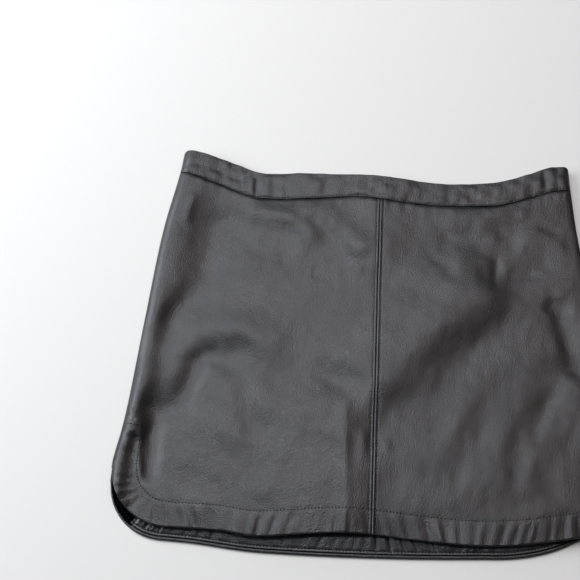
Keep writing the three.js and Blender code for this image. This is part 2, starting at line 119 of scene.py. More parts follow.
# Main folds, each along its path: width to the left of the path, to its right, height and length of its ends
FOLDS = [
    ([(128, 72), (100, 50), (58, 23), (32, -8), (2, -38), (-14, -50), (-27, -61)], 23, 52, 4.9, 36),
    ([(146, 44), (98, 6), (72, -24), (44, -54)], 18, 15, -1.2, 34),
    ([(-26, -32), (-29, -70), (-27, -250)], 24, 80, 4.2, 40),
    ([(-27, -50), (-29, -70), (-27, -186)], 5, 6, 0.8, 14),
    ([(-197, -68), (-191, -42), (-185, -18), (-170, 4), (-148, 12), (-122, 9), (-98, -12), (-84, -34)],
     22, 14, 2.6, 34),
    ([(-144, -8), (-163, -22), (-172, -46), (-178, -66), (-196, -77), (-221, -66)], 11, 10, -2.9, 16),
    ([(-108, -6), (-142, -13), (-160, -20)], 13, 10, -1.1, 20),
    ([(-128, -8), (-137, -22), (-139, -44)], 8, 8, -0.6, 14),
    ([(-154, 36), (-120, 38), (-96, 26)], 14, 16, -0.6, 24),
    ([(-150, 134), (-157, 106), (-161, 80), (-158, 58), (-170, 36), (-192, 18), (-203, -6), (-205, -42)],
     18, 19, -2.6, 24),
    ([(-116, 130), (-140, 122), (-160, 104)], 12, 18, -2.9, 24),
    ([(-177, 152), (-184, 130), (-186, 114)], 5, 5, 1.2, 10),
    ([(-146, -24), (-136, -62), (-124, -112)], 13, 26, 2.1, 26),
    ([(-113, -22), (-107, -50), (-98, -92)], 16, 9, 1.1, 26),
    ([(-140, 132), (-110, 133), (-84, 128), (-66, 114), (-54, 92)], 10, 12, 2.6, 22),
    ([(-84, 140), (-54, 138), (-41, 124), (-30, 113), (-21, 101), (-8, 84)], 15, 8, 1.8, 16),
    ([(172, 56), (176, 20), (184, -14), (190, -34)], 10, 8, -2.0, 18),
    ([(176, -16), (188, -50), (193, -110)], 12, 15, 1.4, 24),
    ([(168, -34), (150, -66), (138, -98)], 9, 9, -1.2, 22),
    ([(153, -104), (155, -152)], 10, 10, -0.6, 20),
    ([(176, -90), (172, -160)], 12, 16, 0.5, 30),
    ([(92, -30), (58, -116)], 11, 16, 0.6, 36),
    ([(122, -44), (102, -154)], 10, 15, 0.6, 40),
    ([(44, -58), (24, -154)], 11, 15, 0.5, 38),
    ([(132, -66), (120, -150)], 7, 7, -0.6, 26),
    ([(82, -84), (66, -150)], 8, 8, -0.5, 24)]
# Small creases, in the same columns
CREASES = [
    ([(118, 97), (117, 82), (111, 62)], 4.5, 4.5, -0.8, 11),
    ([(104, 97), (109, 80)], 6, 6, 0.7, 10),
    ([(126, 92), (125, 76)], 7, 5, 0.5, 8),
    ([(123, 73), (156, 75)], 6, 5, -0.9, 10),
    ([(133, 121), (156, 120), (175, 112), (183, 94)], 7, 12, 1.0, 16),
    ([(60, 136), (100, 137), (140, 140)], 8, 16, 1.0, 20),
    ([(108, 134), (128, 118), (134, 96)], 11, 9, -1.0, 14),
    ([(67, 128), (66, 90), (71, 60)], 8, 8, -0.7, 16),
    ([(51, 106), (58, 78)], 6, 6, -0.5, 10),
    ([(143, 150), (146, 130)], 7, 8, 0.7, 8),
    ([(160, 34), (171, 54)], 6, 6, -1.0, 8),
    ([(-30, 85), (-20, 80), (-8, 72)], 3, 6, 0.8, 8),
    ([(-44, 76), (-30, 73)], 5, 5, 0.5, 8),
    ([(-90, 96), (-89, 75)], 3, 4, -0.6, 7),
    ([(-59, 80), (-59, 64)], 3, 3, -0.5, 5),
    ([(-81, -121), (-94, -133), (-99, -150), (-96, -160)], 7, 5, 0.5, 12),
    ([(-64, -138), (-71, -178)], 6, 6, -0.7, 12),
    ([(-60, -68), (-58, -108)], 9, 9, -0.8, 16),
    ([(-202, -76), (-200, -110), (-201, -146)], 8, 8, -3.0, 18),
    ([(-211, -88), (-213, -111), (-209, -142)], 3, 3, 1.2, 10),
    ([(-230, -62), (-219, -74)], 2.4, 2.4, -0.9, 4),
    ([(-229, -69), (-217, -80)], 2.2, 2.2, 0.8, 4),
    ([(-231, -75), (-218, -86)], 2.4, 2.4, -0.8, 4),
    ([(99, -66), (96, -116)], 8, 8, -0.4, 20),
    ([(68, -54), (54, -100)], 7, 7, -0.45, 18),
    ([(-11, -80), (-12, -118)], 4, 5, 0.8, 14),
    ([(10, -86), (9, -112)], 4, 5, 0.6, 12)]


def smooth(share):
    """Nought below 0, one above 1, and three squares less two cubes between."""
    t = np.clip(share, 0, 1)
    return t * t * (3 - 2 * t)


def mix(a, b, share):
    """From a to b by a share."""
    return a + (b - a) * share


def bell(distance, width):
    """A bell curve: one at no distance, and about a third at the width."""
    return np.exp(-((distance / width) ** 2))


def through(rows, column, at):
    """Cubic curve through a table's rows, its slope at a row being that between the rows on each side."""
    x, v = rows[:, 0], rows[:, column]
    last = len(x) - 1
    before, after = np.maximum(np.arange(last + 1) - 1, 0), np.minimum(np.arange(last + 1) + 1, last)
    slope = (v[after] - v[before]) / (x[after] - x[before])
    at = np.clip(at, x[0], x[-1])
    i = np.clip(np.searchsorted(x, at, side="right") - 1, 0, last - 1)
    span = x[i + 1] - x[i]
    t = (at - x[i]) / span
    start = (2 * t**3 - 3 * t**2 + 1) * v[i] + (t**3 - 2 * t**2 + t) * span * slope[i]
    return start + (3 * t**2 - 2 * t**3) * v[i + 1] + (t**3 - t**2) * span * slope[i + 1]


def side_x(side, y):
    """The side fold: half the width at that height, to the left or right."""
    return side * through(SIDES[side], 1, y)


def waist_seam(x):
    """Height of the seam between band and panels."""
    return through(WAIST, 1, x)


def front_seam_x(y):
    """The centre front seam leans in step with height."""
    return SEAM_LEAN * y


def front_hem(x):
    """The hem's waved line, and beyond its last rows the quarter circles of the two corners."""
    beyond = np.clip(np.abs(x) - FRONT_HEM[-1, 0], 0, FRONT_CORNER)
    return through(FRONT_HEM, 1, x) + FRONT_CORNER - np.sqrt(FRONT_CORNER**2 - beyond**2)


def from_front_edge(x, y):
    """Distance in from the free edge (hem, corner and slit), and length run along it from the middle."""
    straight = FRONT_HEM[-1, 0]
    beyond = np.maximum(np.abs(x) - straight, 0)
    centre = through(FRONT_HEM, 1, x) + FRONT_CORNER
    above = y >= centre
    side_edge = np.where(x < 0, -side_x(-1, y), side_x(1, y))
    in_slit = side_edge - np.abs(x)
    in_corner = FRONT_CORNER - np.hypot(beyond, y - centre)
    distance = np.where(beyond <= 0, y - front_hem(x), np.where(above, in_slit, in_corner))
    angle = np.arctan2(beyond, np.maximum(centre - y, 0) + 1e-6)
    up_slit = np.where(above, y - centre, 0) * (beyond > 0)
    run = np.minimum(np.abs(x), straight) + FRONT_CORNER * angle + up_slit
    return distance, np.sign(x) * run


def fold_height(folds, x, y):
    """Sum of ridges: each a bell curve across its path, wider on one side, and smoothly ended along it."""
    total = np.zeros(np.broadcast(x, y).shape)
    for path, left, right_width, height, fade in folds:
        nearest = np.full(total.shape, np.inf)
        along = np.zeros(total.shape)
        on_left = np.zeros(total.shape, bool)
        walked = 0.0
        for (ax, ay), (bx, by) in zip(path, path[1:]):
            dx, dy = bx - ax, by - ay
            length = math.hypot(dx, dy)
            share = np.clip(((x - ax) * dx + (y - ay) * dy) / length**2, 0, 1)
            distance = np.hypot(x - ax - share * dx, y - ay - share * dy)
            closer = distance < nearest
            nearest = np.where(closer, distance, nearest)
            along = np.where(closer, walked + share * length, along)
            on_left = np.where(closer, dx * (y - ay) - dy * (x - ax) > 0, on_left)
            walked += length
        width = np.where(on_left, left, right_width)
        ends = smooth(along / fade) * smooth((walked - along) / fade)
        total += height * ends * bell(nearest, width)
    return total


def undulation(x, y, seed, shortest, longest, height, waves=14):
    """Unevenness of supple leather: a sum of sine waves in all directions, with lengths between two sizes."""
    rng = np.random.default_rng(seed)
    total = np.zeros(np.broadcast(x, y).shape)
    for turn, share, phase in rng.random((waves, 3)):
        direction = math.tau * turn
        forward = x * math.cos(direction) + y * math.sin(direction)
        total += np.sin(math.tau * forward / mix(shortest, longest, share) + math.tau * phase)
    return height * total / math.sqrt(waves)


def puckers(run, spacing, wander, seed):
    """Uneven pulls along a seam: rounded bulges between narrower dips, of wandering spacing and height."""
    phase = run / spacing + wander * np.sin(run / (2.3 * spacing) + seed)
    phase = phase + 0.15 * np.sin(run / (0.8 * spacing) + 3 * seed)
    uneven = 0.6 + 0.4 * np.sin(run / (3.1 * spacing) + 2 * seed) * np.sin(run / (1.27 * spacing) + seed)
    return uneven * ((0.5 + 0.5 * np.cos(math.tau * phase)) ** 0.7 - 0.6)


def front_level(x, y, from_side):
    """Height of the leather's face: the lie of the panel, its folds, its creases and its unevenness."""
    hem = HEM_LIFT[0] * smooth((HEM_LIFT[1] - y) / HEM_LIFT[2])
    waist = WAIST_LIFT[0] * smooth((y - WAIST_LIFT[1]) / WAIST_LIFT[2])
    over_zip = bell(x, ZIP_BUMP[1]) * smooth((y - ZIP_BUMP[2]) / ZIP_BUMP[3])
    above_slit = smooth((y + 110) / 30)
    breadth = mix(*PUFF_BREADTH, above_slit) + PUFF_GAIN * smooth((y - 20) / 50)
    puff = mix(*SIDE_PUFF, smooth(x / 40)) * bell(from_side - mix(*PUFF_CREST, above_slit), breadth)
    level = FRONT_LEVEL + hem + waist + ZIP_BUMP[0] * over_zip + puff + fold_height(FOLDS, x, y)
    level = level + undulation(x, y, *LONG_SWELL) + undulation(x, y, *SHORT_SWELL)
    level = level + fold_height(CREASES, x, y) - LEAST_LEVEL
    return LEAST_LEVEL + np.logaddexp(0, LEVEL_BLEND * level) / LEVEL_BLEND


def front_relief(x, y):
    """Relief of the seams: the hem's pulls and groove, the lips and grooves at centre front, the waist's dip.
    The pulls lean a little, fade 24 mm in from the hem and stop at the top of the slit."""
    from_edge, run = from_front_edge(x, y)
    rise, middle, reach = LEFT_PULL
    tight = HEM_PULL + rise * bell(run - middle, reach)
    rise, start, over = RIGHT_PULL
    tight = (tight + rise * smooth((run - start) / over)) * smooth((SLIT_TOP + 14 - y) / 28)
    leaning = run + 0.35 * (from_edge - 10) * np.sin(run / 31 + 0.8)
    pulls = puckers(leaning, PULL_SPACING[0], 0.4, 1.7) + 0.4 * puckers(leaning, PULL_SPACING[1], 0.4, 4.1)
    relief = tight * smooth((HEM_DEPTH + 2 - from_edge) / 12) * pulls
    relief -= HEM_DROP * smooth((24 - from_edge) / 26)
    relief -= HEM_GROOVE * bell(from_edge - HEM_DEPTH, 1.1) * (y < SLIT_TOP)
    seam = np.abs(x - front_seam_x(y))
    rise, middle, reach = SEAM_LIP
    relief += rise * bell(seam - middle, reach) - rise * bell(seam, 0.5)
    relief -= STITCH_GROOVE * bell(seam - SEAM_STITCH, 0.8)
    below = waist_seam(x) - y
    relief += 0.4 * smooth((16 - below) / 14) * puckers(x, 13, 0.4, 0.6)
    return relief - WAIST_GROOVE * bell(below, 1.8)


def seam_turn(y):
    """Share of the side seam's turn: whole above the slit, none on the free edges below it."""
    return smooth((y - SLIT_TOP + SLIT_RELAX) / SLIT_RELAX)


def turn_at(distance, roll):
    """Angle round the rolled side at a distance in from it, up to a quarter turn."""
    return np.arccos(1 - np.clip(distance / roll, 0, 1))


def front_surface(x, y, relief, raised=0.0):
    """Height of the front's outer face: a quarter ellipse up from the side seam, then the level."""
    edge = np.where(x < front_seam_x(y), side_x(-1, y), side_x(1, y))
    scale = np.abs(front_seam_x(y) - edge) / MEAN_HALF_WIDTH
    inside = np.abs(x - edge)
    turn = turn_at(inside, FRONT_ROLL * scale)
    start = SIDE_SEAM_HEIGHT + SEAM_GAP / 2
    return mix(start, front_level(x, y, inside) + raised + relief(x, y), np.sin(turn))


def cloth_columns(roll, step, fine):
    """Distances in from the side: even turns round the roll, even steps, then closer ones beside the seam."""
    turns = np.linspace(0, math.pi / 2, 13)
    count = int(round((MEAN_HALF_WIDTH - fine[-1] - roll) / step))
    even = np.linspace(roll, MEAN_HALF_WIDTH - fine[-1], count + 1)[1:]
    return np.concatenate([roll * (1 - np.cos(turns)), even, MEAN_HALF_WIDTH - np.array(fine[-2::-1], float)])


def cloth_rows(length, step, top_fine, bottom_fine):
    """Depths below the top edge at the cloth's mean length: closer beside both edges, even between."""
    count = int(round((length - top_fine[-1] - bottom_fine[-1]) / step))
    even = np.linspace(top_fine[-1], length - bottom_fine[-1], count + 1)
    return np.concatenate([top_fine[:-1], even, length - np.array(bottom_fine[-2::-1], float)])


def lay_grid(side, across, depths, seam_x, top_edge, bottom_edge):
    """x and y of a grid. Its columns keep their share of the width, and their ends are found by halving.
    Rows near the top and bottom keep their real distance from the edge."""
    def column_x(y):
        return mix(side_x(side, y), seam_x(y), across / MEAN_HALF_WIDTH)

    def meet(edge):
        low, high = np.full(len(across), -260.0), np.full(len(across), 260.0)
        for _ in range(40):
            middle = (low + high) / 2
            under = middle < edge(column_x(middle), across)
            low, high = np.where(under, middle, low), np.where(under, high, middle)
        return (low + high) / 2

    top, bottom = meet(top_edge), meet(bottom_edge)
    length, mean = (top - bottom)[:, None], depths[-1]
    near, far = 10.0, 34.0
    if mean < near + far:
        y = top[:, None] - depths * length / mean
    else:
        middle = near + (depths - near) * (length - near - far) / (mean - near - far)
        lower = np.where(depths > mean - far, length - mean + depths, middle)
        y = top[:, None] - np.where(depths < near, depths, lower)
    x = mix(side_x(side, y), seam_x(y), (across / MEAN_HALF_WIDTH)[:, None])
    if side > 0:
        return x[::-1], y[::-1]
    return x, y


def rounding(distance, radius):
    """Drop of a rounded edge at a distance in from it: that of a quarter circle."""
    inside = np.clip(radius - distance, 0, radius)
    return radius - np.sqrt(radius**2 - inside**2)


def wall(name, upper, lower, material):
    """A closed wall between two grids in millimetres, columns to +X and rows to -Y, as one mesh in metres."""
    across, down = upper.shape[:2]
    points = np.concatenate([upper.reshape(-1, 3), lower.reshape(-1, 3)]) * 0.001
    top = np.arange(across * down).reshape(across, down)
    under = top + across * down
    quads = [
        np.stack([top[:-1, :-1], top[:-1, 1:], top[1:, 1:], top[1:, :-1]], -1).reshape(-1, 4),
        np.stack([under[:-1, :-1], under[1:, :-1], under[1:, 1:], under[:-1, 1:]], -1).reshape(-1, 4),
        np.stack([top[:-1, 0], top[1:, 0], under[1:, 0], under[:-1, 0]], -1),
        np.stack([top[1:, -1], top[:-1, -1], under[:-1, -1], under[1:, -1]], -1),
        np.stack([top[0, 1:], top[0, :-1], under[0, :-1], under[0, 1:]], -1),
        np.stack([top[-1, :-1], top[-1, 1:], under[-1, 1:], under[-1, :-1]], -1)]
    return mesh_piece(name, points, np.concatenate(quads), material)


def mesh_piece(name, points, faces, material):
    """An object at the origin from points in metres and faces of one size, smooth but past 55 degrees."""
    mesh = bpy.data.meshes.new(name)
    mesh.from_pydata(points.tolist(), [], faces.tolist())
    mesh.materials.append(material)
    mesh.shade_smooth()
    mesh.set_sharp_from_angle(angle=math.radians(55))
    piece = bpy.data.objects.new(name, mesh)
    bpy.context.scene.collection.objects.link(piece)
    return piece


def linear(colour):
    """A colour's linear red, green, blue and alpha from its sRGB hex value."""
    parts = [int(colour[i:i + 2], 16) / 255 for i in (1, 3, 5)]
    return tuple(c / 12.92 if c <= 0.04045 else ((c + 0.055) / 1.055) ** 2.4 for c in parts) + (1.0,)


def add(tree, kind, inputs=None, **settings):
    """Adds a shader node with its settings. An input takes a value, or a link where it is an output."""
    node = tree.nodes.new(kind)
    for key, value in settings.items():
        setattr(node, key, value)
    for key, value in (inputs or {}).items():
        if isinstance(value, bpy.types.NodeSocket):
            tree.links.new(value, node.inputs[key])
        else:
            node.inputs[key].default_value = value
    return node


def bare_finish(name):
    """A material with no nodes but the one that gives a place on the object, its tree, and that place."""
    material = bpy.data.materials.new(name)
    material.use_nodes = True
    tree = material.node_tree
    tree.nodes.clear()
    return material, tree, add(tree, "ShaderNodeTexCoord").outputs["Object"]


def lay_on(tree, inputs):
    """Ends a tree with a principled surface of the given inputs."""
    skin = add(tree, "ShaderNodeBsdfPrincipled", inputs)
    add(tree, "ShaderNodeOutputMaterial", {"Surface": skin.outputs[0]})


def grained_leather(name, dark, light, satin, grain_mm, grain_depth_mm, shine):
    """Chrome-tanned, pigment-finished garment leather. Its pebble of rounded cells breaks a satin shine that
    wanders a little where the finish is thin. The cells are drawn about twice their real size to show."""
    material, tree, place = bare_finish(name)
    stir = add(tree, "ShaderNodeTexNoise", {"Vector": place, "Scale": 260.0, "Detail": 2.0}).outputs["Color"]
    stirred = add(tree, "ShaderNodeVectorMath", {0: stir, 1: (0.0009, 0.0009, 0.0009)}, operation="MULTIPLY")
    moved = add(tree, "ShaderNodeVectorMath", {0: place, 1: stirred.outputs[0]}, operation="ADD").outputs[0]
    cells = add(tree, "ShaderNodeTexVoronoi", {
        "Vector": moved, "Scale": 1000 / grain_mm, "Smoothness": 0.35}, feature="SMOOTH_F1")
    pores = add(tree, "ShaderNodeTexNoise", {"Vector": place, "Scale": 2600 / grain_mm, "Detail": 2.0})
    grain = add(tree, "ShaderNodeMath", {0: pores.outputs["Fac"], 1: 0.35, 2: cells.outputs["Distance"]},
                operation="MULTIPLY_ADD")
    patches = add(tree, "ShaderNodeTexNoise", {"Vector": place, "Scale": 22.0, "Detail": 4.0}).outputs["Fac"]
    blend = add(tree, "ShaderNodeMix", {0: patches, 6: linear(dark), 7: linear(light)}, data_type="RGBA")
    rough = add(tree, "ShaderNodeMapRange", {
        "Value": patches, "From Min": 0.3, "From Max": 0.7, "To Min": satin - 0.04, "To Max": satin + 0.05})
    raised = add(tree, "ShaderNodeBump", {
        "Height": grain.outputs[0], "Strength": 0.6, "Distance": grain_depth_mm * 0.001}, invert=True)
    lay_on(tree, {"Base Color": blend.outputs[2], "Roughness": rough.outputs[0], "Normal": raised.outputs[0],
                  "Specular IOR Level": shine})
    return material


def give_faces(piece, material, chosen):
    """Gives a piece's chosen faces a second material."""
    piece.data.materials.append(material)
    for index in np.flatnonzero(chosen):
        piece.data.polygons[int(index)].material_index = len(piece.data.materials) - 1


skirt_leather = grained_leather("satin_charcoal_leather", "#111112", "#161618", 0.32, 1.15, 0.42, 0.45)
# Near black with no shine: partly the real dark flesh side, partly painted shade for the dark inside of the
# slit.
flesh_side_and_painted_shade = grained_leather("matt_flesh_side_and_painted_shade", "#030304", "#060607", 0.95, 0.8, 0.2, 0.0)

EDGE_ROUND = 1.1
TURNED_HEM = 1.2
SEAM_STEPS = [0, 0.3, 0.7, 1.2, 1.7, 2.2, 2.7, 3.2, 3.8, 5.0, 6.8, 8.6]
HEM_STEPS = [0, 0.15, 0.4, 0.8, 1.3, 2, 3.1, 4.5] + list(np.arange(6, 31, 1.5))
PANEL_COLUMNS = cloth_columns(FRONT_ROLL, 1.9, SEAM_STEPS)
PANEL_ROWS = cloth_rows(330, 2.1, [0, 0.6, 1.3, 2.2, 3.4, 5, 7], HEM_STEPS)


def front_wall(side, x, y, seam_x, thick, raised, relief, drop):
    """Outer and inner faces of a front piece. The inner lies a thickness below, inside the same roll."""
    edge = side_x(side, y)
    scale = np.abs(seam_x(y) - edge) / MEAN_HALF_WIDTH
    inside = np.abs(x - edge)
    roll = FRONT_ROLL * scale
    lift = np.sin(turn_at(inside, roll))
    share = seam_turn(y)
    outer_z = front_surface(x, y, relief, raised) - drop * lift
    seam_z = SIDE_SEAM_HEIGHT + SEAM_GAP / 2 - LEATHER * (1 - share)
    level = front_level(x, y, inside) + raised + relief(x, y)
    inner_z = mix(seam_z, level - thick + drop, lift)
    inner_x = edge - side * (roll - (roll - LEATHER * share) * np.cos(turn_at(inside, roll)))
    inner_x = np.where(inside < roll, inner_x, x)
    return np.stack([x, y, outer_z], -1), np.stack([inner_x, y, inner_z], -1)


def dress(piece, node):
    """Puts a piece on the skirt's body and hides the CAD node that it stands in for."""
    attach(piece, "skirt")
    if node:
        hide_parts(node)


for side, word in ((-1, "left"), (1, "right")):
    def half_seam(y, side=side):
        """The panel's edge at centre front, half a gap from the seam line."""
        return front_seam_x(y) + side * SEAM_GAP / 2

    x, y = lay_grid(side, PANEL_COLUMNS, PANEL_ROWS, half_seam,
                    lambda at, d: waist_seam(at) - SEAM_GAP / 2, lambda at, d: front_hem(at))
    from_edge, run = from_front_edge(x, y)
    hem_share = smooth((HEM_DEPTH - from_edge) / 1.5) * smooth((SLIT_TOP - y) / 4)
    upper, lower = front_wall(side, x, y, half_seam, LEATHER + TURNED_HEM * hem_share, 0, front_relief,
                              rounding(from_edge, EDGE_ROUND))
    panel = wall("front_" + word, upper, lower, skirt_leather)
    cells = (upper.shape[0] - 1) * (upper.shape[1] - 1)
    give_faces(panel, flesh_side_and_painted_shade, np.arange(len(panel.data.polygons)) // cells == 1)
    dress(panel, "front_panel_" + word)

# Front waistband
# One band of the same leather, folded double over a stiffener to 2 mm and sewn over both fronts. Its lower
# edge is stitched just above the seam, and its top edge is a rounded fold, a little crumpled by handling.
BAND_LEATHER = 2.0
BAND_CORNER = 4.0
BAND_FOLD = 0.95
BAND_GROOVE = 0.4
BAND_STITCH = 1.7
BAND_SWELL = (21, 9, 30, 0.26)
BAND_FULLNESS = 0.55
BAND_PULL = 0.4
BAND_CREASES = [
    ([(-119, 148), (-118, 174)], 3, 3, -1.1, 3),
    ([(-109, 149), (-107, 176)], 5, 6, 0.7, 4),
    ([(-188, 184), (-160, 178), (-128, 166)], 4, 4, -0.8, 10),
    ([(-150, 170), (-146, 184)], 4, 4, 0.5, 4),
    ([(168, 167), (168, 190)], 3, 3, -0.9, 4),
    ([(10, 154), (13, 172)], 4, 4, -0.5, 4),
    ([(-60, 151), (-57, 174)], 6, 5, 0.5, 5),
    ([(92, 150), (96, 168)], 5, 5, -0.4, 5)]


def waist_top(x, from_side):
    """Top edge of the band, with a small round corner at each side fold."""
    return through(WAIST, 2, x) - rounding(from_side, BAND_CORNER)


def band_relief(x, y):
    """The band's relief: fullness between its edges, small pulls, creases and a stitched groove."""
    above, height = y - waist_seam(x), through(WAIST, 2, x) - waist_seam(x)
    share = np.clip(above / height, 0, 1)
    leaning = x + 6 * share * np.sin(x / 29)
    pulls = puckers(leaning, 19, 0.45, 2.2) + 0.5 * puckers(leaning, 7.7, 0.4, 5.2)
    relief = BAND_FULLNESS * np.sin(math.pi * share) + BAND_PULL * smooth(share * 3) * pulls
    relief += fold_height(BAND_CREASES, x, y) + undulation(x, y, *BAND_SWELL)
    return relief - BAND_GROOVE * bell(above - BAND_STITCH, 0.9)


BAND_STEPS = [0, 0.15, 0.4, 0.7, 1.1, 1.6, 2.3]
BAND_COLUMNS = cloth_columns(FRONT_ROLL, 1.9, [0, 1.9, 3.8])
BAND_ROWS = cloth_rows(26, 1.5, BAND_STEPS, BAND_STEPS)


def band_bottom(x, from_side=0):
    """Lower edge of a band, half a gap above the seam line at any distance from the side."""
    return waist_seam(x) + SEAM_GAP / 2


halves = []
for side in (-1, 1):
    x, y = lay_grid(side, BAND_COLUMNS, BAND_ROWS, front_seam_x, waist_top, band_bottom)
    from_top = through(WAIST, 2, x) - rounding(np.abs(x - side_x(side, y)), BAND_CORNER) - y
    from_bottom = y - band_bottom(x)
    drop = rounding(np.minimum(from_top, from_bottom), BAND_FOLD)
    raised = BAND_LEATHER - LEATHER
    halves.append(front_wall(side, x, y, front_seam_x, BAND_LEATHER, raised, band_relief, drop))
upper, lower = (np.concatenate([halves[0][k], halves[1][k][1:]]) for k in (0, 1))
band = wall("front_band", upper, lower, skirt_leather)
dress(band, "waistband_front")

# Back panels
# Two pieces of the same leather joined at centre back under a concealed zip, cut 18 mm longer than the front.
# They lie flat on their outer face, with a few soft creases that stand clear of the surface.
BACK_ROLL = 7.0
BACK_HEM = (-10, -199, 5, 160)
BACK_HEM_LIFT = 3.5
BACK_LEFT_CORNER = (-186, 50)
BACK_RIGHT_CORNER = (95, 133.9, -90, 2.2)
BACK_LIFT = (2.8, 13, 30, 88, 30)
BACK_ROUND = 0.7
# Depth, extra thickness and edge radius of the rolled hem, which ends where the facing is joined
HEM_BEAD = (3.3, 1.1, 1.25)
FACING_JOINT_X = -215.0
BACK_CREASES = [
    ([(112, 44), (60, 10), (18, -30)], 14, 9, 1.2, 26),
    ([(-58, 118), (-80, 62), (-86, 20)], 9, 12, 0.9, 24),
    ([(-138, -34), (-142, -122)], 10, 8, 1.0, 26),
    ([(150, -44), (130, -120)], 8, 12, 0.9, 26),
    ([(74, -64), (90, -140)], 8, 8, 0.6, 22),
    ([(-60, -90), (-36, -150)], 9, 9, 0.7, 22),
    ([(124, 128), (96, 84)], 8, 10, 0.6, 16)]


def back_hem_base(x):
    """The back hem between its corners: a shallow parabola."""
    middle, lowest, rise, reach = BACK_HEM
    return lowest + rise * ((x - middle) / reach) ** 2 + BACK_HEM_LIFT * smooth((-100 - x) / 70)


def back_hem(x):
    """The back hem: the parabola, a quarter circle at the left and a fuller curve at the right."""
    corner_x, radius = BACK_LEFT_CORNER
    left = back_hem_base(corner_x) + rounding(radius - np.clip(corner_x - x, 0, radius), radius)
    right_x, reach, top, power = BACK_RIGHT_CORNER
    across = np.clip((x - right_x) / reach, 0, 1)
    fuller = top - (top - back_hem_base(right_x)) * (1 - across**power) ** (1 / power)
    return np.where(x < corner_x, left, np.where(x > right_x, fuller, back_hem_base(x)))


def back_level(x, y):
    """Height of the back's outer face: on the surface, but raised over the zip's pull near the waist."""
    rise, flat, fade, start, over = BACK_LIFT
    return rise * (1 - smooth((np.abs(x) - flat) / fade)) * smooth((y - start) / over)


def back_folds(x, y):
    """The soft creases, which stand clear of the surface and end short of the zip."""
    return np.maximum(0, fold_height(BACK_CREASES, x, y)) * (1 - smooth((y - 60) / 40) * (np.abs(x) < 50))


def from_back_edge(x, y):
    """Distance in from the back hem, taken square to it."""
    slope = (back_hem(x + 0.05) - back_hem(x - 0.05)) / 0.1
    return (y - back_hem(x)) / np.sqrt(1 + slope**2)


def back_grooves(x, y):
    """Sunk lines in the outer face: the centre back seam, the hem's stitching and small pulls below it."""
    inward = from_back_edge(x, y)
    seams = 0.5 * bell(x, 0.9) + 0.55 * bell(inward - HEM_DEPTH, 1.2) * (inward > 0)
    return seams + 0.3 * smooth((HEM_DEPTH - inward) / 8) * np.maximum(0, puckers(x, 19, 0.4, 3.1))


def back_wall(side, x, y, seam_x, thick, folds, grooves, drop):
    """Inner and outer faces of a back piece: the outer turns up to the side seam on a quarter ellipse."""
    edge = side_x(side, y)
    roll = BACK_ROLL * np.abs(seam_x(y) - edge) / MEAN_HALF_WIDTH
    inside = np.abs(x - edge)
    angle = turn_at(inside, roll)
    flat, share = np.sin(angle), seam_turn(y)
    rise = (SIDE_SEAM_HEIGHT - SEAM_GAP / 2) * share
    level = back_level(x, y) + folds(x, y)
    inner_x = np.where(inside < roll, edge - side * (roll - (roll - thick * share) * np.cos(angle)), x)
    inner_z = mix(rise + thick * (1 - share), level + thick - drop, flat)
    outer_z = mix(rise, level + grooves(x, y) + drop, flat)
    return np.stack([inner_x, y, inner_z], -1), np.stack([x, y, outer_z], -1)


BACK_COLUMNS = cloth_columns(BACK_ROLL, 2.6, [0, 0.5, 1.1, 1.8, 2.8, 4.4])
BACK_HEM_STEPS = [0, 0.1, 0.3, 0.6, 0.9, 1.3, 1.8, 2.3, 2.7, 3, 3.3, 3.7, 4.3, 6, 8.5, 11, 14, 17, 19.5,
                  20.7, 21.4, 22, 22.6, 23.3, 24.5]
BACK_ROWS = cloth_rows(345, 2.7, [0, 0.8, 2], BACK_HEM_STEPS)
for side, word in ((-1, "left"), (1, "right")):
    def half_back_seam(y, side=side):
        """The panel's edge at centre back, half a gap from the seam line."""
        return side * SEAM_GAP / 2 + 0 * y

    x, y = lay_grid(side, BACK_COLUMNS, BACK_ROWS, half_back_seam,
                    lambda at, d: waist_seam(at) - SEAM_GAP / 2, lambda at, d: back_hem(at))
    inward = from_back_edge(x, y)
    bead = HEM_BEAD[1] * smooth((HEM_BEAD[0] - inward) / 0.8) * smooth((x - FACING_JOINT_X) / 3)
    upper, lower = back_wall(side, x, y, half_back_seam, LEATHER + bead, back_folds, back_grooves,
                             rounding(inward, mix(BACK_ROUND, HEM_BEAD[2], bead / HEM_BEAD[1])))
    panel = wall("back_" + word, upper, lower, skirt_leather)
    beaded = bead[1:, 1:].max(1, keepdims=True) / HEM_BEAD[1]
    inner = inward[1:, 1:] > mix(1.3, HEM_BEAD[0] + 0.5, beaded)
    # Past the rolled hem the inner face is the near-black flesh side, which shows only inside the slit, as
    # painted shade.
    give_faces(panel, flesh_side_and_painted_shade, inner.ravel())
    dress(panel, "back_panel_" + word)

# Back waistbands
# The band goes on round the back in two pieces, which stop on each side of the zip.
BAND_OPENING = 0.9
BACK_BAND_COLUMNS = cloth_columns(BACK_ROLL, 2.6, [0, 0.15, 0.4, 0.9, 2])
BACK_BAND_ROWS = cloth_rows(26, 2, BAND_STEPS, BAND_STEPS)


def no_folds(x, y):
    """The back band has no folds."""
    return 0 * x


def back_band_grooves(x, y):
    """Sunk lines in the band's outer face: its stitching, and small pulls along it clear of the zip."""
    above, height = y - waist_seam(x), through(WAIST, 2, x) - waist_seam(x)
    middle = np.sin(math.pi * np.clip(above / height, 0, 1))
    pulls = 0.4 * middle * np.maximum(0, puckers(x, 26, 0.4, 4.4)) * smooth((np.abs(x) - 14) / 20)
    return pulls + 0.5 * bell(above - BAND_STITCH, 1.0)


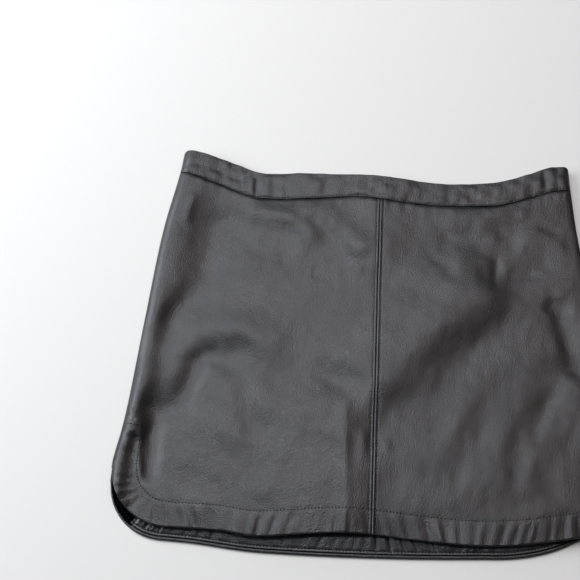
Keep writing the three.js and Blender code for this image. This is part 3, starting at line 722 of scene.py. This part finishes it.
for side, word in ((-1, "left"), (1, "right")):
    def band_end(y, side=side):
        """The band's end beside the zip."""
        return side * BAND_OPENING + 0 * y

    x, y = lay_grid(side, BACK_BAND_COLUMNS, BACK_BAND_ROWS, band_end, waist_top, band_bottom)
    from_top = through(WAIST, 2, x) - rounding(np.abs(x - side_x(side, y)), BAND_CORNER) - y
    nearest = np.minimum(np.minimum(from_top, y - band_bottom(x)), np.abs(x - band_end(y)))
    upper, lower = back_wall(side, x, y, band_end, BAND_LEATHER, no_folds, back_band_grooves,
                             rounding(nearest, BAND_FOLD))
    band = wall("back_band_" + word, upper, lower, skirt_leather)
    dress(band, "waistband_back_" + word)

# Back hem facing
# A strip of the same leather sewn inside the back hem and turned in, under-stitched 2 mm from its edge, and
# drawn a little lighter than the skirt as painted light. It follows the hem's curve, shows below the front
# and ends at a joint in the left corner; past the joint the strip goes on, drawn near black as painted shade
# inside the slit.
FACING_LEATHER = 1.0
FACING_INSET = 3.4
FACING_ROUND = 0.45
UNDERSTITCH = 2.2
FACING_RISE = 1.2
FACING_STATIONS = 190
FACING_END_TURN = 0.94
# Heights and spacings of the facing's larger and smaller pulls
FACING_PULLS = ((1.3, 13), (0.7, 5.7))
FACING_STEPS = [28, 26, 23, 20, 17, 14.5, 12, 10, 8, 6.5, 5.2, 4, 3.2, 2.6, 2.2, 1.8, 1.3, 0.9, 0.5, 0.2, 0]
# A lighter copy of the skirt's leather: painted light that lifts the facing out of the front hem's shade.
facing_leather = grained_leather("facing_leather", "#171718", "#1E1E1F", 0.36, 1.15, 0.36, 0.5)


def hem_line(x):
    """Places on the back hem at x, and the unit vectors square to it towards the waist."""
    along = np.stack([np.full(x.shape, 0.1), back_hem(x + 0.05) - back_hem(x - 0.05)], -1)
    along /= np.linalg.norm(along, axis=-1, keepdims=True)
    return np.stack([x, back_hem(x)], -1), np.stack([-along[:, 1], along[:, 0]], -1)


def hem_stations(side, count, end_turn):
    """x along the back hem: even to the corner, then by the sine of an even turn round it."""
    bend, length = (BACK_LEFT_CORNER if side < 0 else BACK_RIGHT_CORNER)[:2]
    reach = bend + side * length
    share = np.linspace(0, 1, count)
    turn = np.clip(2 * share - 1, 0, 1) * end_turn * math.pi / 2
    return np.where(share < 0.5, mix(side * SEAM_GAP / 2, bend, 2 * share), mix(bend, reach, np.sin(turn)))


def facing_relief(x, depth):
    """The facing's relief: pulls along its edge, the under-stitched groove and the joint at the left."""
    leaning = x + 0.5 * depth * np.sin(x / 23)
    (large, wide), (small, close) = FACING_PULLS
    pulls = large * puckers(leaning, wide, 0.5, 0.9) + small * puckers(leaning, close, 0.4, 2.2)
    relief = smooth(depth / 6) * (0.5 + pulls)
    relief += FACING_RISE * smooth((depth - 3) / 12)
    relief -= 0.3 * bell(depth - UNDERSTITCH, 0.7)
    return relief - 0.5 * bell(x - FACING_JOINT_X, 0.8)


for side, word in ((-1, "left"), (1, "right")):
    x = hem_stations(side, FACING_STATIONS, FACING_END_TURN)
    places, inward = hem_line(x)
    depth = np.array(FACING_STEPS, float)
    spots = places[:, None] + inward[:, None] * (FACING_INSET + depth)[None, :, None]
    spots[0, :, 0] = x[0]
    under = LEATHER + SEAM_GAP
    drop = rounding(depth, FACING_ROUND)[None, :] + 0 * x[:, None]
    top = under + FACING_LEATHER + facing_relief(x[:, None], depth[None, :]) - drop
    upper = np.concatenate([spots, top[..., None]], -1)
    lower = np.concatenate([spots, (under + drop)[..., None]], -1)
    if side < 0:
        upper, lower = upper[::-1], lower[::-1]
    strip = wall("hem_facing_" + word, upper, lower, facing_leather)
    if side < 0:
        # Past the joint the facing is drawn in the near-black flesh material: painted shade inside the slit.
        give_faces(strip, flesh_side_and_painted_shade, np.repeat(upper[1:, -1, 0] < FACING_JOINT_X, len(FACING_STEPS) - 1))
    dress(strip, "back_hem_facing_" + word)

# Stitching
# Lock stitches about eight to the inch in stout black polyester thread: both sides of centre front, round the
# front hem and slits, along the waist seam, along the facing's edge, and round the back hem underneath.
STITCH_PITCH = 3.0
STITCH_LENGTH = 1.6
THREAD_RADIUS = 0.48


def polyester_thread(name, colour):
    """Bonded black sewing thread: two plies laid in a spiral, with a soft sheen."""
    material, tree, place = bare_finish(name)
    plies = add(tree, "ShaderNodeTexWave", {"Vector": place, "Scale": 420.0, "Distortion": 1.5},
                bands_direction="DIAGONAL")
    raised = add(tree, "ShaderNodeBump", {
        "Height": plies.outputs["Fac"], "Strength": 0.5, "Distance": 0.00008})
    lay_on(tree, {"Base Color": linear(colour), "Roughness": 0.6, "Normal": raised.outputs[0],
                  "Specular IOR Level": 0.1})
    return material


black_thread = polyester_thread("black_thread", "#08080A")


def spaced(path):
    """Places a stitch pitch apart along a path, with the path's direction at each."""
    path = np.asarray(path, float)
    walked = np.append(0, np.cumsum(np.hypot(*np.diff(path, axis=0).T)))
    at = np.arange(STITCH_PITCH / 2, walked[-1], STITCH_PITCH)
    spots = np.stack([np.interp(at, walked, path[:, k]) for k in (0, 1)], -1)
    ahead = np.stack([np.interp(at + 0.5, walked, path[:, k]) - np.interp(at - 0.5, walked, path[:, k])
                      for k in (0, 1)], -1)
    return spots, ahead / np.linalg.norm(ahead, axis=-1, keepdims=True)


def sew(name, paths, height, up=1):
    """Stitches along paths on a surface of a given height: six-sided, thickest in the middle, with both ends
    sunk in. None reaches below what the skirt lies on by more than a hair."""
    along = np.array([-1, -0.82, -0.4, 0.4, 0.82, 1.0])
    girth = THREAD_RADIUS * np.sqrt(np.maximum(0, 1 - 0.92 * along**4))
    lift = THREAD_RADIUS * (0.55 - 1.5 * along**6)
    turn = np.arange(6) * math.tau / 6
    spots, ahead = (np.concatenate(parts) for parts in zip(*(spaced(path) for path in paths)))
    centres = spots[:, None] + ahead[:, None] * (along * STITCH_LENGTH / 2)[None, :, None]
    across = np.stack([-ahead[:, 1], ahead[:, 0]], -1)
    flat = centres[:, :, None] + (girth[:, None] * np.cos(turn))[None, ..., None] * across[:, None, None]
    level = np.maximum(height(centres[..., 0], centres[..., 1]) + up * lift, 0.9 * THREAD_RADIUS)
    z = level[..., None] + up * (girth[:, None] * np.sin(turn))[None]
    points = np.concatenate([flat, z[..., None]], -1).reshape(-1, 3) * 0.001
    ring = np.arange(5)[:, None] * 6
    side = np.arange(6)[None, :]
    following = (side + 1) % 6
    loop = np.stack([ring + side, ring + following, ring + 6 + following, ring + 6 + side], -1).reshape(-1, 4)
    caps = np.array([[0, 3, 2, 1], [0, 5, 4, 3], [30, 31, 32, 33], [30, 33, 34, 35]])
    one = np.concatenate([loop, caps])
    faces = (np.arange(len(spots))[:, None, None] * 36 + one[None]).reshape(-1, 4)
    piece = mesh_piece(name, points, faces, black_thread)
    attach(piece, "skirt")


def front_face(x, y):
    """Height of the front panels' face."""
    return front_surface(x, y, front_relief)


def band_face(x, y):
    """Height of the front waistband's face."""
    return front_surface(x, y, band_relief, BAND_LEATHER - LEATHER)


def front_hem_path():
    """The line at the hem's depth from the free edge: slit, corner, hem, corner and slit."""
    straight, radius = FRONT_HEM[-1, 0], FRONT_CORNER - HEM_DEPTH
    turns = np.linspace(0, math.pi / 2, 16)
    across = np.linspace(-straight, straight, 180)
    ends = {side: front_hem(side * straight) + FRONT_CORNER for side in (-1, 1)}
    up_slit = {side: [(side_x(side, y) - side * HEM_DEPTH, y)
                      for y in np.linspace(SLIT_TOP, ends[side] + 2, 10)] for side in (-1, 1)}
    corner = {side: [(side * (straight + radius * math.cos(turn)), ends[side] - radius * math.sin(turn))
                     for turn in turns] for side in (-1, 1)}
    bottom = list(zip(across, front_hem(across) + HEM_DEPTH))
    return up_slit[-1] + corner[-1] + bottom + corner[1][::-1] + up_slit[1][::-1]


down_front = np.linspace(front_hem(0.0) + 1, waist_seam(0.0) - 1.5, 90)
sew("centre_front_stitches", [np.stack([front_seam_x(down_front) + side * SEAM_STITCH, down_front], -1)
                              for side in (-1, 1)], front_face)
slit_bars = [[(side_x(side, SLIT_TOP) - side * reach, SLIT_TOP + lean)
              for reach, lean in ((HEM_DEPTH, 0.5), (4, 3))] for side in (-1, 1)]
sew("front_hem_stitches", [front_hem_path()] + slit_bars, front_face)
along_waist = np.linspace(-187, 187, 260)
waist_line = np.stack([along_waist, waist_seam(along_waist) + BAND_STITCH], -1)
sew("front_band_stitches", [waist_line], band_face)


def facing_face(x, y):
    """Height of the hem facing's face along its under-stitching."""
    return LEATHER + SEAM_GAP + FACING_LEATHER + facing_relief(x, UNDERSTITCH)


def hem_row(depth, end_turn):
    """A line at a depth inside the back hem, from corner to corner."""
    x = np.concatenate([hem_stations(-1, 150, end_turn)[::-1], hem_stations(1, 150, end_turn)[1:]])
    places, inward = hem_line(x)
    return places + inward * depth


def back_face(x, y):
    """Height of the back panels' outer face, underneath."""
    return back_level(x, y) + back_folds(x, y) + back_grooves(x, y)


def back_band_face(x, y):
    """Height of the back waistbands' outer face, underneath."""
    return back_level(x, y) + back_band_grooves(x, y)


sew("facing_stitches", [hem_row(FACING_INSET + UNDERSTITCH, 0.9)], facing_face)
sew("back_hem_stitches", [hem_row(HEM_DEPTH, 0.86)], back_face, -1)
beside_zip = [waist_line[waist_line[:, 0] < -3], waist_line[waist_line[:, 0] > 3]]
sew("back_band_stitches", beside_zip, back_band_face, -1)

# Zip
# A concealed nylon coil zip, closed: two woven tapes sewn inside the back seam, each with half of the coil,
# and a black enamelled slider and pull, whose shapes are right as they come and only take their finish.
ZIP_SPAN = (-2.0, 176.0)
ZIP_HALF_WIDTH = 12.0
TAPE = 0.6
COIL_END = 163.4
COIL_PITCH = 1.3
COIL_WIRE = 0.22
# Distance of the coil's axis from the middle, its reach to each side, its height over the tape and its rise
COIL_LOOP = (0.85, 0.95, 0.5, 0.28)
COIL_STEPS = 12
NOTCH_HALF_WIDTH = 4.3
BAND_STEP = (16, 14)


def zip_floor(y):
    """Height of the tape's underside, which steps up on to the thicker waistband."""
    on_band = smooth((y - waist_seam(0.0) + BAND_STEP[0]) / BAND_STEP[1])
    return back_level(0.0, y) + mix(LEATHER, BAND_LEATHER, on_band) + SEAM_GAP


def woven_tape(name, colour):
    """Black polyester tape: a fine herringbone of dull yarns about half a millimetre wide."""
    material, tree, place = bare_finish(name)
    warp = add(tree, "ShaderNodeTexWave", {"Vector": place, "Scale": 320.0}, bands_direction="X")
    weft = add(tree, "ShaderNodeTexWave", {"Vector": place, "Scale": 400.0}, bands_direction="Y")
    weave = add(tree, "ShaderNodeMath", {0: warp.outputs["Fac"], 1: weft.outputs["Fac"]},
                operation="MULTIPLY")
    tones = {0: weave.outputs[0], 6: linear("#0C0C0D"), 7: linear(colour)}
    blend = add(tree, "ShaderNodeMix", tones, data_type="RGBA")
    raised = add(tree, "ShaderNodeBump", {"Height": weave.outputs[0], "Strength": 0.7, "Distance": 0.00015})
    lay_on(tree, {"Base Color": blend.outputs[2], "Roughness": 0.8, "Normal": raised.outputs[0],
                  "Sheen Weight": 0.3})
    return material


def coil_nylon(name, colour):
    """Black nylon monofilament, slightly glossy, its tone a little uneven."""
    material, tree, place = bare_finish(name)
    drawn = add(tree, "ShaderNodeTexNoise", {"Vector": place, "Scale": 900.0, "Detail": 2.0}).outputs["Fac"]
    blend = add(tree, "ShaderNodeMix", {0: drawn, 6: linear("#0B0B0C"), 7: linear(colour)}, data_type="RGBA")
    rough = add(tree, "ShaderNodeMapRange", {"Value": drawn, "To Min": 0.25, "To Max": 0.4})
    lay_on(tree, {"Base Color": blend.outputs[2], "Roughness": rough.outputs[0]})
    return material


def enamelled_metal(name, colour):
    """Black stoving enamel on die-cast zinc: smooth and glossy, with a faint orange peel and fine wear."""
    material, tree, place = bare_finish(name)
    peel = add(tree, "ShaderNodeTexNoise", {"Vector": place, "Scale": 700.0, "Detail": 3.0}).outputs["Fac"]
    blend = add(tree, "ShaderNodeMix", {0: peel, 6: linear("#0A0A0B"), 7: linear(colour)}, data_type="RGBA")
    rough = add(tree, "ShaderNodeMapRange", {"Value": peel, "To Min": 0.18, "To Max": 0.34})
    raised = add(tree, "ShaderNodeBump", {"Height": peel, "Strength": 0.2, "Distance": 0.00005})
    lay_on(tree, {"Base Color": blend.outputs[2], "Roughness": rough.outputs[0], "Normal": raised.outputs[0],
                  "Coat Weight": 0.5})
    return material


above_coil = np.linspace(ZIP_SPAN[1], COIL_END + 0.4, 9)
tape_y = np.concatenate([above_coil, np.linspace(COIL_END + 0.2, ZIP_SPAN[0], 90)])
tape_inner = np.where(tape_y > COIL_END + 0.3, NOTCH_HALF_WIDTH, 0.25)
tape_share = np.linspace(0, 1, 9)
tape_grids = []
for side in (-1, 1):
    reach = mix(tape_inner[None, :], ZIP_HALF_WIDTH, tape_share[:, None])
    spots = np.stack([side * reach, tape_y[None, :] + 0 * reach], -1)[::side]
    floor = zip_floor(spots[..., 1:])
    tape_grids.append((np.concatenate([spots, floor + TAPE], -1), np.concatenate([spots, floor], -1)))
tape_cloth = woven_tape("zip_tape_cloth", "#1C1C1E")
tapes = []
for (upper, lower), word in zip(tape_grids, ("left", "right")):
    tapes.append(wall("zip_tape_" + word, upper, lower, tape_cloth))
    dress(tapes[-1], "zip_tape")

coil_nylon_black = coil_nylon("coil_nylon", "#19191B")
turns = int((COIL_END - ZIP_SPAN[0] - 1) / COIL_PITCH)
steps = np.arange(turns * COIL_STEPS + 1) / COIL_STEPS
coil_axis, coil_reach, coil_height, coil_rise = COIL_LOOP
for side, word in ((-1, "left"), (1, "right")):
    angle = math.tau * steps + (0 if side < 0 else math.pi)
    y = ZIP_SPAN[0] + 0.6 + COIL_PITCH * steps
    wire_z = zip_floor(y) + TAPE + coil_height + coil_rise * np.sin(angle)
    centre = np.stack([side * (coil_axis - coil_reach * np.cos(angle)), y, wire_z], -1)
    ahead = np.gradient(centre, axis=0)
    ahead /= np.linalg.norm(ahead, axis=-1, keepdims=True)
    beside = np.cross(ahead, np.array([0, 1.0, 0]))
    beside /= np.linalg.norm(beside, axis=-1, keepdims=True)
    over = np.cross(beside, ahead)
    corner = np.arange(6) * math.tau / 6
    ring = np.cos(corner)[None, :, None] * beside[:, None] + np.sin(corner)[None, :, None] * over[:, None]
    rings = centre[:, None] + COIL_WIRE * ring
    base = np.arange(len(steps) - 1)[:, None] * 6
    k, after = np.arange(6)[None, :], (np.arange(6)[None, :] + 1) % 6
    faces = np.stack([base + k, base + after, base + 6 + after, base + 6 + k], -1).reshape(-1, 4)
    last = (len(steps) - 1) * 6
    first_cap = np.array([[0, 3, 2, 1], [0, 5, 4, 3]])
    last_cap = np.array([[0, 1, 2, 3], [0, 3, 4, 5]]) + last
    faces = np.concatenate([faces, first_cap, last_cap])
    coil = mesh_piece("zip_coil_" + word, rings.reshape(-1, 3) * 0.001, faces, coil_nylon_black)
    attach(coil, "skirt")

enamel = enamelled_metal("black_enamel", "#121214")
for node in ("zip_slider", "zip_pull"):
    hard = bpy.data.objects[node]
    hard.data.materials.clear()
    hard.data.materials.append(enamel)

# Lights and surface
# A plain pale surface under soft studio light: a broad light from the upper left, small ones beyond the waist
# and over the left front, a low one from the left that catches the edges, and a warm one from the right.
SURFACE_REACH = 4
WORLD_STRENGTH = 0.11
floor_mesh = bpy.data.meshes.new("surface")
floor_corners = [(x * SURFACE_REACH, y * SURFACE_REACH, 0) for x, y in ((-1, -1), (1, -1), (1, 1), (-1, 1))]
floor_mesh.from_pydata(floor_corners, [], [(0, 1, 2, 3)])
surface = bpy.data.objects.new("surface", floor_mesh)
bpy.context.scene.collection.objects.link(surface)
pale = bpy.data.materials.new("pale_matt_paper")
pale.use_nodes = True
paper = pale.node_tree.nodes["Principled BSDF"]
paper.inputs["Base Color"].default_value = linear("#CAC9C5")
paper.inputs["Roughness"].default_value = 0.9
floor_mesh.materials.append(pale)

# Name, place in metres, size, power in watts and colour
LIGHTS = [
    ("key_light", (-1.0, 1.65, 2.1), (1.3, 1.8), 30.0, "#F7F9FF"),
    ("top_light", (0.06, 1.4, 2.1), (0.5, 0.5), 11.0, "#F7F9FF"),
    ("near_light", (-0.35, 0.38, 2.1), (0.35, 0.4), 14.0, "#F4F8FF"),
    ("warm_light", (0.7, 0.82, 2.1), (0.6, 0.8), 7.0, "#FFE4D6"),
    ("side_light", (-1.5, 0.4, 0.75), (1.7, 0.8), 40.0, "#F4F8FF")]
for name, place, size, power, colour in LIGHTS:
    lamp = bpy.data.lights.new(name, "AREA")
    lamp.shape = "RECTANGLE"
    lamp.size, lamp.size_y = size
    lamp.energy = power
    lamp.color = linear(colour)[:3]
    holder = bpy.data.objects.new(name, lamp)
    holder.location = place
    holder.rotation_euler = (-Vector(place)).to_track_quat("-Z", "Y").to_euler()
    bpy.context.scene.collection.objects.link(holder)
world = bpy.data.worlds.new("studio")
world.use_nodes = True
sky = world.node_tree.nodes["Background"]
sky.inputs["Color"].default_value = linear("#E2E8F2")
sky.inputs["Strength"].default_value = WORLD_STRENGTH
bpy.context.scene.world = world
bpy.context.scene.view_settings.view_transform = "Standard"
